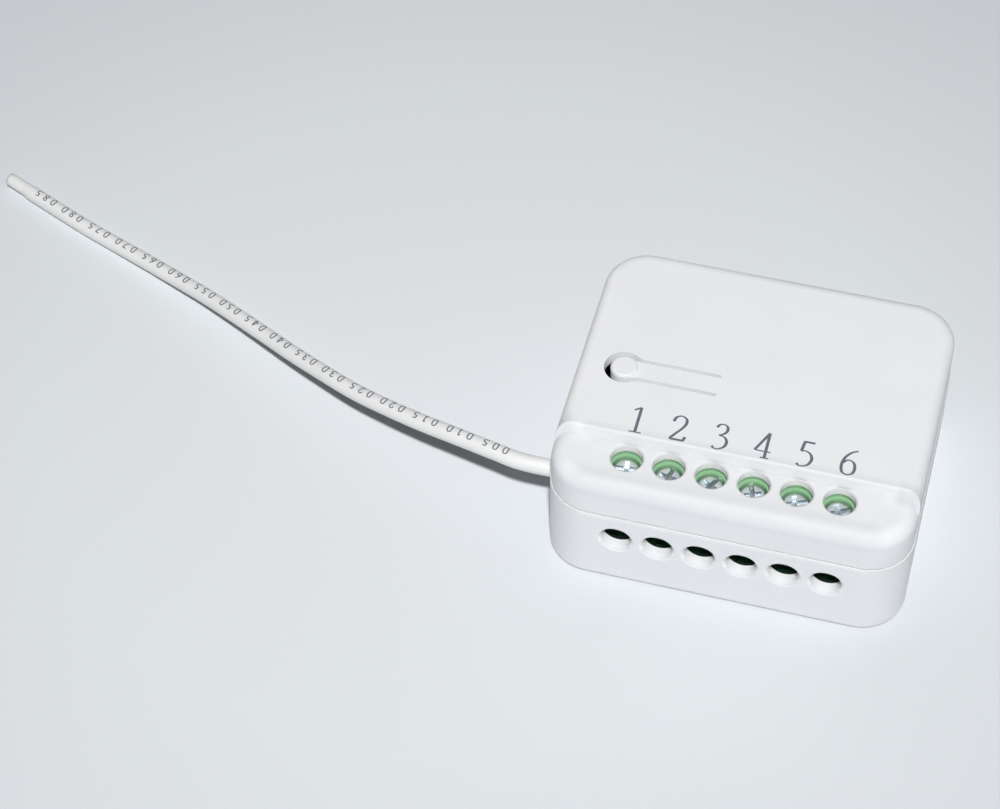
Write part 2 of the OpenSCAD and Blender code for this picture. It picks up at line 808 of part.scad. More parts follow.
module rectifier() {
    color("#26282C") translate([rectifier_x, rectifier_y, board_top]) {
        s = rectifier_size;
        translate([-s[0] / 2, -s[1] / 2, foot_size[2]]) cube([s[0], s[1], s[2] - foot_size[2]]);
        for (sx = [-1, 1], sy = [-1, 1])
            translate([sx * s[0] / 2 - foot_size[0] / 2, sy * s[1] / 4 - foot_size[1] / 2, 0])
                cube([foot_size[0], foot_size[1], foot_size[2] + s[2] / 4]);
    }
}

// Drum core with a wound waist
module power_inductor() {
    rim = 0.9;
    color("#3C3F45") {
        translate([inductor_x, inductor_y, board_top]) {
            cylinder(d = inductor_waist_d, h = inductor_h);
            cylinder(d = inductor_d, h = rim);
            translate([0, 0, inductor_h - rim]) cylinder(d = inductor_d, h = rim);
        }
        board_leads(inductor_leads(), leg_d, board_top + over);
    }
}

module radio_board() {
    s = radio_size;
    color("#24533A") difference() {
        translate([radio_x - s[0] / 2, radio_y - s[1] / 2, radio_z]) cube(s);
        for (p = header_leads()) translate([p[0], p[1], radio_z - over])
            cylinder(d = header_pin_d + hole_room, h = s[2] + 2 * over);
    }
}

module radio_shield() {
    z = radio_z + radio_size[2];
    s = shield_size;
    upright_r = 0.6;
    top_r = 0.3;
    color(tin) translate([radio_x, shield_y, z]) difference() {
        filleted_block(s[0], s[1], s[2], upright_r, top_r);
        translate([shield_wall - s[0] / 2, shield_wall - s[1] / 2, -over])
            cube([s[0] - 2 * shield_wall, s[1] - 2 * shield_wall, s[2] - shield_wall + over]);
    }
}

module radio_header() {
    l = header_ways * header_pitch;
    top = radio_z + radio_size[2] + header_pin_top;
    color("#2B2D31") {
        translate([radio_x - l / 2, header_y - header_d / 2, board_top])
            cube([l, header_d, header_h]);
        board_leads(header_leads(), header_pin_d, top);
    }
}

module switch_body() {
    color("#4A4D52") {
        translate([pad_x, tongue_y, board_top]) difference() {
            translate([-switch_w / 2, -switch_w / 2, 0]) cube([switch_w, switch_w, switch_h]);
            translate([0, 0, switch_h - plunger_depth - plunger_travel - press_gap])
                cylinder(d = plunger_d + 2 * fit_gap, h = switch_h);
        }
        board_leads(switch_leads(), leg_d, board_top + over);
    }
}

module switch_plunger() {
    color("#1F2125") translate([pad_x, tongue_y, switch_top - plunger_depth])
        cylinder(d = plunger_d, h = plunger_depth + plunger_rise);
}

// Conductor from the sleeve's inner end, bent down through the board
module antenna_wire() {
    start = lead_path[0];
    color("#C77B4A") {
        translate(start) rotate([0, 90, 0]) cylinder(d = wire_core_d, h = pad_hole_x - start[0]);
        translate([pad_hole_x, lead_y, lead_z]) sphere(d = wire_core_d);
        board_leads([[pad_hole_x, lead_y]], wire_core_d, lead_z);
    }
}

function unit(v) = v / norm(v);
function lead_way(i) = unit(lead_path[min(i + 1, len(lead_path) - 1)] - lead_path[max(i - 1, 0)]);
function lead_ring(i) =
    let (way = lead_way(i), side = unit(cross(way, [0, 0, 1])), up = cross(side, way))
    [for (k = [0:lead_sides - 1])
        let (a = 360 * (k + 0.5) / lead_sides)
        lead_path[i] + lead_d / 2 * (cos(a) * side + sin(a) * up)];
// Number of the corner k on ring i
function corner(i, k) = i * lead_sides + k % lead_sides;

module antenna_lead() {
    last = len(lead_path) - 1;
    rings = [for (i = [0:last]) each lead_ring(i)];
    walls = [for (i = [0:last - 1], k = [0:lead_sides - 1]) each [
        [corner(i, k), corner(i, k + 1), corner(i + 1, k + 1)],
        [corner(i, k), corner(i + 1, k + 1), corner(i + 1, k)],
    ]];
    caps = [for (k = [1:lead_sides - 2]) each [
        [corner(0, 0), corner(0, k + 1), corner(0, k)],
        [corner(last, 0), corner(last, k), corner(last, k + 1)],
    ]];
    color("#E9EAEA") polyhedron(points = rings, faces = concat(walls, caps));
}

base_shell();
top_cover();
button_tongue();
main_board();
terminal_block();
contact_bars();
for (i = [1:ways]) {
    terminal_screw(i);
    clamp_cage(i);
}
relay_case();
relay_base();
relay_coil();
relay_core();
relay_yoke();
relay_armature();
relay_contact();
relay_pins();
film_capacitor();
bulk_capacitor();
varistor();
fuse();
rectifier();
power_inductor();
radio_board();
radio_shield();
radio_header();
switch_body();
switch_plunger();
antenna_wire();
antenna_lead();
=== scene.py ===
# In-wall relay module: the finish of every piece, the antenna lead, the printed numbers, light and camera.
# Lengths are in metres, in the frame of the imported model, except where a comment says millimetres.
import bisect
import json
import math

import bpy
from mathutils import Matrix, Vector


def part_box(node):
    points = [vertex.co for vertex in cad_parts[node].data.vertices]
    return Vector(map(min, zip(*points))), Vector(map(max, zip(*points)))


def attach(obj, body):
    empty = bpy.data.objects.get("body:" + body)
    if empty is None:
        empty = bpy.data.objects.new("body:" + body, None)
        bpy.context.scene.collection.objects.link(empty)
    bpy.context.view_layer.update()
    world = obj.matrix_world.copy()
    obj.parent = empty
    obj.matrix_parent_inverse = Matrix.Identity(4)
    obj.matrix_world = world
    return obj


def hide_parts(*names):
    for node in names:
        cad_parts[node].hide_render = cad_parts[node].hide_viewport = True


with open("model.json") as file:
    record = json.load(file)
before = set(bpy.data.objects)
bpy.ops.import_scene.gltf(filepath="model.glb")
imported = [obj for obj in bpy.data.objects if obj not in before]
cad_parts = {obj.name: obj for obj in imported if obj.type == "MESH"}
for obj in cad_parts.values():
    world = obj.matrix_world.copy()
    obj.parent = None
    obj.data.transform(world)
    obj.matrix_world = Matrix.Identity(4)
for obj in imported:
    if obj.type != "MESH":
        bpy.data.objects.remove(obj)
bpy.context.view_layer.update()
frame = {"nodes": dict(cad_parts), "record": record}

NODES = frame["nodes"]
SLOT_OF = {part["node"]: part["material_slot"] for part in frame["record"]["subparts"]}
SCENE = bpy.context.scene
MM = 0.001
UP = Vector((0, 0, 1))
WAYS = 6


def link_object(name, data):
    thing = bpy.data.objects.new(name, data)
    SCENE.collection.objects.link(thing)
    return thing


# Camera, placed so that the case's outline falls where the photograph has it
CAMERA_AZIMUTH = math.radians(16.17)
CAMERA_ELEVATION = math.radians(50.56)
CAMERA_ROLL = math.radians(-1.22)
CAMERA_DISTANCE = 325.65 * MM
# How far the case's centre lies right of the picture's centre, and above it
CAMERA_SLIDE = (31.02 * MM, -9.53 * MM)
FOCAL_PIXELS = 2600.4
PICTURE_PIXELS = 1000
SENSOR_WIDTH = 36.0


def toward(azimuth, elevation):
    """Direction to something seen from the origin; azimuth 0 is in front of the wire holes."""
    flat = math.cos(elevation)
    return Vector((math.sin(azimuth) * flat, -math.cos(azimuth) * flat, math.sin(elevation)))


def add_camera():
    back = toward(CAMERA_AZIMUTH, CAMERA_ELEVATION)
    level = Vector((math.cos(CAMERA_AZIMUTH), math.sin(CAMERA_AZIMUTH), 0))
    upright = back.cross(level)
    right = math.cos(CAMERA_ROLL) * level + math.sin(CAMERA_ROLL) * upright
    up = math.cos(CAMERA_ROLL) * upright - math.sin(CAMERA_ROLL) * level
    pose = Matrix((right, up, back)).transposed().to_4x4()
    pose.translation = CAMERA_DISTANCE * back - CAMERA_SLIDE[0] * right - CAMERA_SLIDE[1] * up
    lens = bpy.data.cameras.new("camera")
    lens.sensor_fit = "HORIZONTAL"
    lens.sensor_width = SENSOR_WIDTH
    lens.lens = FOCAL_PIXELS * SENSOR_WIDTH / PICTURE_PIXELS
    camera = link_object("camera", lens)
    camera.matrix_world = pose
    SCENE.camera = camera


# Parts of materials
NOISE_DETAIL = 3.0
# The span that most of a noise's values fall in
NOISE_SPAN = (0.2, 0.8)
# Where the blend at a box's faces ends, as a share of its half size
BOX_BLEND = 0.95


def new_material(name):
    material = bpy.data.materials.new(name)
    material.use_nodes = True
    return material, material.node_tree, material.node_tree.nodes["Principled BSDF"]


def object_place(tree):
    """The piece's own coordinates."""
    return tree.nodes.new("ShaderNodeTexCoord").outputs["Object"]


def split(tree, place):
    """The X, Y and Z of a place."""
    node = tree.nodes.new("ShaderNodeSeparateXYZ")
    tree.links.new(place, node.inputs["Vector"])
    return node.outputs


def scaled(tree, place, centre, reach):
    """The place as seen from a centre, in units of the reach along each axis."""
    node = tree.nodes.new("ShaderNodeMapping")
    node.vector_type = "TEXTURE"
    node.inputs["Location"].default_value = centre
    node.inputs["Scale"].default_value = reach
    tree.links.new(place, node.inputs["Vector"])
    return node.outputs["Vector"]


def combine(tree, operation, one, other):
    """Math on two values that both vary."""
    node = tree.nodes.new("ShaderNodeMath")
    node.operation = operation
    tree.links.new(one, node.inputs[0])
    tree.links.new(other, node.inputs[1])
    return node.outputs["Value"]


def vector_step(tree, operation, place, other=None):
    """Vector math on a place, with a fixed vector where the operation needs one; gives the node's outputs."""
    node = tree.nodes.new("ShaderNodeVectorMath")
    node.operation = operation
    tree.links.new(place, node.inputs[0])
    if other is not None:
        node.inputs[1].default_value = other
    return node.outputs


def noise(tree, size, vector=None):
    """Noise with features of the given size, over the piece's own coordinates if no others are given."""
    texture = tree.nodes.new("ShaderNodeTexNoise")
    texture.inputs["Scale"].default_value = 1 / size
    texture.inputs["Detail"].default_value = NOISE_DETAIL
    if vector is None:
        vector = object_place(tree)
    tree.links.new(vector, texture.inputs["Vector"])
    return texture.outputs["Fac"]


def ramp(tree, factor, stops):
    """Colours along a factor: stops are pairs of a position and a colour."""
    node = tree.nodes.new("ShaderNodeValToRGB")
    elements = node.color_ramp.elements
    while len(elements) < len(stops):
        elements.new(0.5)
    for element, (position, colour) in zip(elements, stops):
        element.position = position
        element.color = (*colour, 1)
    tree.links.new(factor, node.inputs["Fac"])
    return node.outputs["Color"]


def rise(tree, value, start, end, low=0.0, high=1.0):
    """Goes from low to high as the value goes from start to end, and stays level outside them."""
    node = tree.nodes.new("ShaderNodeMapRange")
    for socket, number in (("From Min", start), ("From Max", end), ("To Min", low), ("To Max", high)):
        node.inputs[socket].default_value = number
    tree.links.new(value, node.inputs["Value"])
    return node.outputs["Result"]


def between(tree, factor, low, high):
    """The noise's usual span stretched to the values low to high."""
    return rise(tree, factor, *NOISE_SPAN, low, high)


def beside(tree, place, centre, half):
    """Distance from a box, given by its centre and half size; a half size of 0 makes it flat."""
    steps = (("SUBTRACT", centre), ("ABSOLUTE", None), ("SUBTRACT", half), ("MAXIMUM", (0, 0, 0)))
    for operation, other in steps:
        place = vector_step(tree, operation, place, other)["Vector"]
    return vector_step(tree, "LENGTH", place)["Value"]


def inside(tree, place, low, high):
    """1 inside the box from corner to corner and 0 outside it, with a thin blend at its faces."""
    boxed = scaled(tree, place, (low + high) / 2, (high - low) / 2)
    sides = split(tree, vector_step(tree, "ABSOLUTE", boxed)["Vector"])
    furthest = combine(tree, "MAXIMUM", combine(tree, "MAXIMUM", sides["X"], sides["Y"]), sides["Z"])
    return rise(tree, furthest, 1.0, BOX_BLEND)


def stained(tree, colour, share, painted_tone):
    """Mixes painted light and shade into the colour: it turns to the painted tone by a share that varies over
    the surface.
    """
    node = tree.nodes.new("ShaderNodeMix")
    node.data_type = "RGBA"
    node.inputs["B"].default_value = (*painted_tone, 1)
    tree.links.new(colour, node.inputs["A"])
    tree.links.new(share, node.inputs["Factor"])
    return node.outputs["Result"]


def bump(tree, height, depth):
    node = tree.nodes.new("ShaderNodeBump")
    node.inputs["Distance"].default_value = depth
    tree.links.new(height, node.inputs["Height"])
    return node.outputs["Normal"]


def paint(tree, shader, colour, roughness, normal):
    for socket, source in (("Base Color", colour), ("Roughness", roughness), ("Normal", normal)):
        tree.links.new(source, shader.inputs[socket])


# Finishes that drift over patches: the darkest and the lightest colour, the size of the patches, the least
# and the most roughness, the size and the depth of the grain and, for metals, 1
FINISHES = {
    "case_white": ((0.785, 0.795, 0.815), (0.815, 0.825, 0.845), 9 * MM, (0.46, 0.56), 0.25 * MM, 1.5e-6),
    "terminal_green": ((0.225, 0.42, 0.235), (0.28, 0.48, 0.29), 3 * MM, (0.22, 0.34), 0.2 * MM, 2e-6),
    "tinned_metal": ((0.56, 0.57, 0.57), (0.66, 0.67, 0.66), 2 * MM, (0.25, 0.45), 0.15 * MM, 3e-6, 1),
    "brass": ((0.56, 0.40, 0.14), (0.68, 0.51, 0.22), 2 * MM, (0.2, 0.4), 0.2 * MM, 3e-6, 1),
    "soft_iron": ((0.31, 0.32, 0.34), (0.40, 0.41, 0.43), 2 * MM, (0.35, 0.5), 0.2 * MM, 4e-6, 1),
    "black_plastic": ((0.024, 0.024, 0.028), (0.036, 0.036, 0.042), 3 * MM, (0.4, 0.55), 0.2 * MM, 6e-6),
    "yellow_plastic": ((0.58, 0.38, 0.04), (0.66, 0.46, 0.06), 4 * MM, (0.25, 0.4), 0.3 * MM, 5e-6),
    "can_sleeve": ((0.04, 0.065, 0.14), (0.06, 0.095, 0.18), 3 * MM, (0.25, 0.35), 0.4 * MM, 6e-6),
    "blue_coating": ((0.035, 0.11, 0.36), (0.05, 0.16, 0.46), 3 * MM, (0.3, 0.45), 0.5 * MM, 2e-5),
    "ceramic": ((0.66, 0.62, 0.54), (0.74, 0.70, 0.62), 2 * MM, (0.45, 0.6), 0.2 * MM, 6e-6),
    "ferrite": ((0.05, 0.05, 0.06), (0.08, 0.08, 0.09), 1 * MM, (0.5, 0.7), 0.15 * MM, 1e-5),
    "print_grey": ((0.10, 0.115, 0.145), (0.13, 0.145, 0.175), 0.8 * MM, (0.5, 0.65), 0.1 * MM, 1e-6),
}


def finish(name, dark, light, patch, roughness, grain, depth, metallic=0):
    """Surface whose colour and roughness drift over patches, with a grain of the given size and depth."""
    material, tree, shader = new_material(name)
    shader.inputs["Metallic"].default_value = metallic
    patches = noise(tree, patch)
    colour = ramp(tree, patches, list(zip(NOISE_SPAN, (dark, light))))
    paint(tree, shader, colour, between(tree, patches, *roughness), bump(tree, noise(tree, grain), depth))
    return material


# White plastic of the case
CASE_SPECULAR = 0.2
# Light that scatters into it: its share, how deep it goes, and the depths below the roof at which it starts
# and is full
GLOW = 0.9
GLOW_DEPTH = 0.6 * MM
GLOW_EDGE = (0.04 * MM, 0.2 * MM)
# Painted light and shade along edges: darker bands that dull the highlights on the terrace's front edge and
# along the step and its ends, and a paler band that lifts the shade at the parting line in front. Each has
# the middle and the half size of the edge's core, the distances from it at which the tint ends and is full,
# in millimetres, and the colour.
PAINTED_EDGE_SHADING = {
    "front edge of the terrace": ((0, -17.8, 17.05), (17, 0, 0), (2.4, 0.7), (0.725, 0.735, 0.755)),
    "foot of the step": ((0, -12.0, 17.4), (17, 0, 0), (1.0, 0.2), (0.755, 0.765, 0.785)),
    "top of the step": ((0, -11.0, 18.4), (18, 0, 0), (1.2, 0.25), (0.725, 0.735, 0.755)),
    "right end of the step": ((20.7, -11.3, 17.8), (1.1, 0.4, 0.5), (1.2, 0.3), (0.70, 0.71, 0.73)),
    "left end of the step": ((-21.2, -11.3, 17.7), (0.6, 0.5, 0.6), (1.4, 0.2), (0.72, 0.73, 0.75)),
    "parting line in front": ((0, -18.6, 11.75), (17, 0.2, 0.2), (0.55, 0.05), (0.88, 0.89, 0.905)),
}
# Painted light and shade inside boxes: a dark line for the shade at the parting line on the right, a grey
# ledge that dulls its highlight in front, paler bands that lift the shade at the cover's foot in front, in
# the tongue's slots, the driver holes and the wire holes' sides, a set grey that tones down the wire holes'
# lit floors, a paler upper and a grey lower rim to the wire holes, and near black for the shade at their
# inner ends. Each has the lowest and highest corner, in millimetres, and the colour. A later one covers an
# earlier one.
PAINTED_BOX_SHADING = {
    "parting line on the right": ((21.5, -13, 11.5), (22.2, 19, 12.1), (0.60, 0.61, 0.63)),
    "ledge of the parting line": ((-18, -18.75, 11.74), (18, -18.5, 11.82), (0.72, 0.73, 0.75)),
    "foot of the cover in front": ((-18, -18.6, 11.82), (18, -18.4, 12.02), (0.97, 0.975, 0.98)),
    "slots of the tongue": ((-19, -5, 17.0), (-3, 3, 18.45), (0.86, 0.865, 0.88)),
    "driver holes": ((-15.5, -16, 15.9), (15.5, -11.4, 17.2), (0.93, 0.935, 0.945)),
    "wire holes": ((-15.5, -18.4, 5.2), (15.5, -16.4, 10), (0.80, 0.81, 0.825)),
    "sides of the wire holes": ((-15.5, -18.4, 6.9), (15.5, -16.4, 10), (0.93, 0.935, 0.945)),
    "upper rims of the wire holes": ((-15.5, -18.68, 6.7), (15.5, -18.36, 10), (0.84, 0.85, 0.865)),
    "lower rims of the wire holes": ((-15.5, -18.68, 5.2), (15.5, -18.36, 6.7), (0.70, 0.71, 0.73)),
    "inner ends of the wire holes": ((-15.5, -17.1, 5.2), (15.5, -16.4, 10), (0.006, 0.014, 0.010)),
}
# The cover's rounded outline on the left is paler behind the terrace, painted light that lifts the shade
# where
# it turns away from the lamp: the rectangle of its corners' centres, the distances from it at which the tint
# starts and is full, and the same along each axis
PAINTED_LIGHT_CENTRE = (0, 0, 17.2 * MM)
PAINTED_LIGHT_HALF = (16.25 * MM, 13.1 * MM, 0)
PAINTED_LIGHT_REACH = (3.9 * MM, 5.1 * MM)
PAINTED_LIGHT_LIMITS = {"X": (2 * MM, -12 * MM), "Y": (-10.5 * MM, -7 * MM), "Z": (15.9 * MM, 16.7 * MM)}
PAINTED_LIGHT_TINT = (0.94, 0.945, 0.955)


def stain_case(material, roof):
    """Lets light scatter into the white plastic below the roof's plane, and paints light and shade on its
    edges and openings.
    """
    tree = material.node_tree
    shader = tree.nodes["Principled BSDF"]
    shader.inputs["Specular IOR Level"].default_value = CASE_SPECULAR
    place = object_place(tree)
    axes = split(tree, place)
    glow = rise(tree, axes["Z"], roof - GLOW_EDGE[0], roof - GLOW_EDGE[1], high=GLOW)
    tree.links.new(glow, shader.inputs["Subsurface Weight"])
    shader.inputs["Subsurface Radius"].default_value = (1, 1, 1)
    shader.inputs["Subsurface Scale"].default_value = GLOW_DEPTH
    colour = shader.inputs["Base Color"].links[0].from_socket
    # Painted light that lifts the shade on the cover's rounded outline on the left.
    share = rise(tree, beside(tree, place, PAINTED_LIGHT_CENTRE, PAINTED_LIGHT_HALF), *PAINTED_LIGHT_REACH)
    for axis, limits in PAINTED_LIGHT_LIMITS.items():
        share = combine(tree, "MULTIPLY", share, rise(tree, axes[axis], *limits))
    colour = stained(tree, colour, share, PAINTED_LIGHT_TINT)
    # Painted light and shade along edges and inside boxes.
    for centre, half, (end, full), tint in PAINTED_EDGE_SHADING.values():
        distance = beside(tree, place, Vector(centre) * MM, Vector(half) * MM)
        colour = stained(tree, colour, rise(tree, distance, end * MM, full * MM), tint)
    for low, high, tint in PAINTED_BOX_SHADING.values():
        colour = stained(tree, colour, inside(tree, place, Vector(low) * MM, Vector(high) * MM), tint)
    tree.links.new(colour, shader.inputs["Base Color"])


# Zinc plate of the screws, with turning rings and patches of a drifting tint
ZINC_COLOURS = [(0.3, (0.56, 0.63, 0.70)), (0.5, (0.74, 0.76, 0.77)), (0.7, (0.66, 0.73, 0.71))]
ZINC_PATCH = 1.6 * MM
ZINC_WEAR = 0.5 * MM
ZINC_ROUGHNESS = (0.24, 0.42)
ZINC_RING = 1.2 * MM
ZINC_RING_WANDER = 1.5
ZINC_RING_DEPTH = 1.5e-6
# Painted shade in the slots: the depths below the head's top at which it starts and is full, and its colour
SLOT_SHADE_DEPTHS = (0.15 * MM, 0.5 * MM)
SLOT_PAINTED_SHADE = (0.42, 0.465, 0.50)


def zinc_finish(name, axis, top):
    """Bright zinc plate with fine rings round the screw's axis and painted shade down in the slots."""
    material, tree, shader = new_material(name)
    shader.inputs["Metallic"].default_value = 1
    place = object_place(tree)
    depth = rise(tree, split(tree, place)["Z"], top - SLOT_SHADE_DEPTHS[0], top - SLOT_SHADE_DEPTHS[1])
    rings = tree.nodes.new("ShaderNodeTexWave")
    rings.wave_type = "RINGS"
    rings.rings_direction = "Z"
    rings.inputs["Scale"].default_value = 1 / ZINC_RING
    rings.inputs["Distortion"].default_value = ZINC_RING_WANDER
    tree.links.new(vector_step(tree, "SUBTRACT", place, axis)["Vector"], rings.inputs["Vector"])
    colour = stained(tree, ramp(tree, noise(tree, ZINC_PATCH), ZINC_COLOURS), depth, SLOT_PAINTED_SHADE)
    roughness = between(tree, noise(tree, ZINC_WEAR), *ZINC_ROUGHNESS)
    paint(tree, shader, colour, roughness, bump(tree, rings.outputs["Fac"], ZINC_RING_DEPTH))
    return material


# Circuit boards
BOARD_COLOURS = {"Color1": (0.03, 0.16, 0.06), "Color2": (0.035, 0.19, 0.075), "Mortar": (0.06, 0.27, 0.11)}
BOARD_PATCH = 2 * MM
BOARD_ROUGHNESS = (0.3, 0.5)
TRACK_CELL = 4 * MM
TRACK_WIDTH = 0.12
TRACK_DEPTH = 0.02 * MM


def board_finish(name):
    """Green solder resist over lighter tracks that run in short straight lengths."""
    material, tree, shader = new_material(name)
    tracks = tree.nodes.new("ShaderNodeTexBrick")
    tracks.inputs["Scale"].default_value = 1 / TRACK_CELL
    tracks.inputs["Mortar Size"].default_value = TRACK_WIDTH
    for socket, colour in BOARD_COLOURS.items():
        tracks.inputs[socket].default_value = (*colour, 1)
    tree.links.new(object_place(tree), tracks.inputs["Vector"])
    roughness = between(tree, noise(tree, BOARD_PATCH), *BOARD_ROUGHNESS)
    paint(tree, shader, tracks.outputs["Color"], roughness, bump(tree, tracks.outputs["Fac"], TRACK_DEPTH))
    return material


# Enamelled copper
WINDING_COLOURS = [(0.0, (0.36, 0.13, 0.05)), (1.0, (0.62, 0.28, 0.12))]
WINDING_PATCH = 1 * MM
WINDING_ROUGHNESS = (0.25, 0.4)
TURN_SIZE = 0.6 * MM
TURN_DEPTH = 0.04 * MM


def winding_finish(name):
    """Enamelled wire wound in fine level turns."""
    material, tree, shader = new_material(name)
    shader.inputs["Metallic"].default_value = 1
    turns = tree.nodes.new("ShaderNodeTexWave")
    turns.bands_direction = "Z"
    turns.inputs["Scale"].default_value = 1 / TURN_SIZE
    tree.links.new(object_place(tree), turns.inputs["Vector"])
    colour = ramp(tree, turns.outputs["Fac"], WINDING_COLOURS)
    roughness = between(tree, noise(tree, WINDING_PATCH), *WINDING_ROUGHNESS)
    paint(tree, shader, colour, roughness, bump(tree, turns.outputs["Fac"], TURN_DEPTH))
    return material


# Sleeve of the lead. Its texture runs along the lead in millimetres, and SLEEVE_ROUND units round it.
SLEEVE_COLOURS = [(0.3, (0.73, 0.735, 0.73)), (0.7, (0.775, 0.775, 0.765))]
SLEEVE_ROUGHNESS = (0.36, 0.52)
SLEEVE_ROUND = 6
SMUDGE_SIZE = 6.0
STREAK_SIZE = 0.5
STREAK_SCALE = (0.12, 1, 1)
STREAK_DEPTH = 0.012 * MM


def sleeve_finish(name):
    """Pale lead sleeve with drawn-out streaks along it, read from the tube's own coordinates."""
    material, tree, shader = new_material(name)
    place = tree.nodes.new("ShaderNodeTexCoord").outputs["UV"]
    stretched = tree.nodes.new("ShaderNodeMapping")
    stretched.inputs["Scale"].default_value = STREAK_SCALE
    tree.links.new(place, stretched.inputs["Vector"])
    streaks = noise(tree, STREAK_SIZE, stretched.outputs["Vector"])
    colour = ramp(tree, noise(tree, SMUDGE_SIZE, place), SLEEVE_COLOURS)
    paint(tree, shader, colour, between(tree, streaks, *SLEEVE_ROUGHNESS), bump(tree, streaks, STREAK_DEPTH))
    return material


def make_materials():
    """One material for each slot of the record, but not the screws', which get theirs one by one."""
    made = {slot: finish(slot, *values) for slot, values in FINISHES.items()}
    stain_case(made["case_white"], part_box("top_cover")[1].z)
    made["board_green"] = board_finish("board_green")
    made["copper_winding"] = winding_finish("copper_winding")
    made["lead_sleeve"] = sleeve_finish("lead_sleeve")
    return made


def dress_nodes(materials):
    for name, node in NODES.items():
        slot = SLOT_OF[name]
        if slot == "zinc_plate":
            low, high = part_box(name)
            material = zinc_finish(f"zinc_{name}", (low + high) / 2, high.z)
        else:
            material = materials[slot]
        node.data.materials.clear()
        node.data.materials.append(material)


# Antenna lead: its centre line from inside the left wall to the free end
LEAD_POINTS = [
    (-0.0186, -0.0106, 0.0084),
    (-0.026, -0.0106, 0.0084),
    (-0.03, -0.0098, 0.0083),
    (-0.035, -0.0086, 0.0081),
    (-0.04, -0.0072, 0.0076),
    (-0.045, -0.0055, 0.007),
    (-0.05, -0.0035, 0.0063),
    (-0.055, -0.001, 0.0056),
    (-0.06, 0.0017, 0.0048),
    (-0.065, 0.0046, 0.004),
    (-0.07, 0.0074, 0.0033),
    (-0.075, 0.0101, 0.0026),
    (-0.08, 0.0125, 0.002),
    (-0.085, 0.0148, 0.0015),
    (-0.09, 0.0169, 0.0012),
    (-0.095, 0.0189, 0.0011),
    (-0.099, 0.0206, 0.0011),
    (-0.104, 0.0228, 0.0011),
    (-0.109, 0.025, 0.0011),
]
LEAD_STEPS = 40
LEAD_D = 2.2 * MM
# How much thinner the lead is at its free end, and over its last stretch, where it is pinched
LEAD_THINNING = 0.06
PINCH = 0.13
PINCH_LENGTH = 4.2 * MM
PINCH_EASE = 1.0 * MM
RING_STEP = 0.4 * MM
RING_SIDES = 28
SLEEVE_BORE = 0.58
CORE_SET_BACK = 0.35 * MM
# The steps of the line, before a point and after it, that give the lead's direction there
STEPS_BEFORE, STEPS_AFTER = 5, 6


def smooth_line(points, steps):
    """Line through the points, rounded by a cubic between each pair."""
    ends = [2 * points[0] - points[1], *points, 2 * points[-1] - points[-2]]
    line = []
    for before, a, b, after in zip(ends, ends[1:], ends[2:], ends[3:]):
        for k in range(steps):
            t = k / steps
            bend = (2 * before - 5 * a + 4 * b - after) * t ** 2 + (3 * a - before - 3 * b + after) * t ** 3
            line.append(0.5 * (2 * a + (b - before) * t + bend))
    return line + [points[-1]]


def ease(t):
    t = min(max(t, 0), 1)
    return t * t * (3 - 2 * t)


class Lead:
    """The lead's line, measured along its length, and its round surface."""

    def __init__(self):
        self.line = smooth_line([Vector(p) for p in LEAD_POINTS], LEAD_STEPS)
        self.reach = [0.0]
        for a, b in zip(self.line, self.line[1:]):
            self.reach.append(self.reach[-1] + (b - a).length)
        self.length = self.reach[-1]

    def section(self, distance):
        """Centre of the cross-section at a distance, with its directions up and to the near side."""
        last = len(self.line) - 1
        i = min(max(bisect.bisect(self.reach, distance) - 1, 0), last - 1)
        a, b = self.line[i], self.line[i + 1]
        centre = a.lerp(b, (distance - self.reach[i]) / (b - a).length)
        way = (self.line[min(i + STEPS_AFTER, last)] - self.line[max(i - STEPS_BEFORE, 0)]).normalized()
        near = UP.cross(way).normalized()
        return centre, way.cross(near), near

    def pinch(self, distance):
        return PINCH * ease((distance - self.length + PINCH_LENGTH) / PINCH_EASE)

    def radius(self, distance):
        return LEAD_D / 2 * (1 - LEAD_THINNING * distance / self.length) * (1 - self.pinch(distance))

    def surface(self, distance, angle, radius):
        """Point at an angle from the top towards the near side; a pinch lifts it by half of what it takes."""
        centre, up, near = self.section(distance)
        lift = LEAD_D / 2 * self.pinch(distance) / 2
        return centre + lift * up + radius * (math.cos(angle) * up + math.sin(angle) * near)


def tube_mesh(name, rings):
    """Quads between rings of points, with a face over the last ring and one over the first."""
    sides = len(rings[0])
    faces = []
    for i in range(len(rings) - 1):
        for k in range(sides):
            a, b = i * sides + k, i * sides + (k + 1) % sides
            faces.append((a, b, b + sides, a + sides))
    faces.append(tuple(range((len(rings) - 1) * sides, len(rings) * sides)))
    faces.append(tuple(reversed(range(sides))))
    mesh = bpy.data.meshes.new(name)
    mesh.from_pydata([p for ring in rings for p in ring], [], faces)
    mesh.polygons.foreach_set("use_smooth", [len(face) == 4 for face in faces])
    coordinates = mesh.uv_layers.new(name="sleeve")
    for polygon in mesh.polygons:
        for corner, vertex in zip(polygon.loop_indices, polygon.vertices):
            ring, side = divmod(vertex, sides)
            if side == 0 and polygon.vertices[0] % sides == sides - 1:
                side = sides
            coordinates.data[corner].uv = (ring * RING_STEP / MM, SLEEVE_ROUND * side / sides)
    return mesh


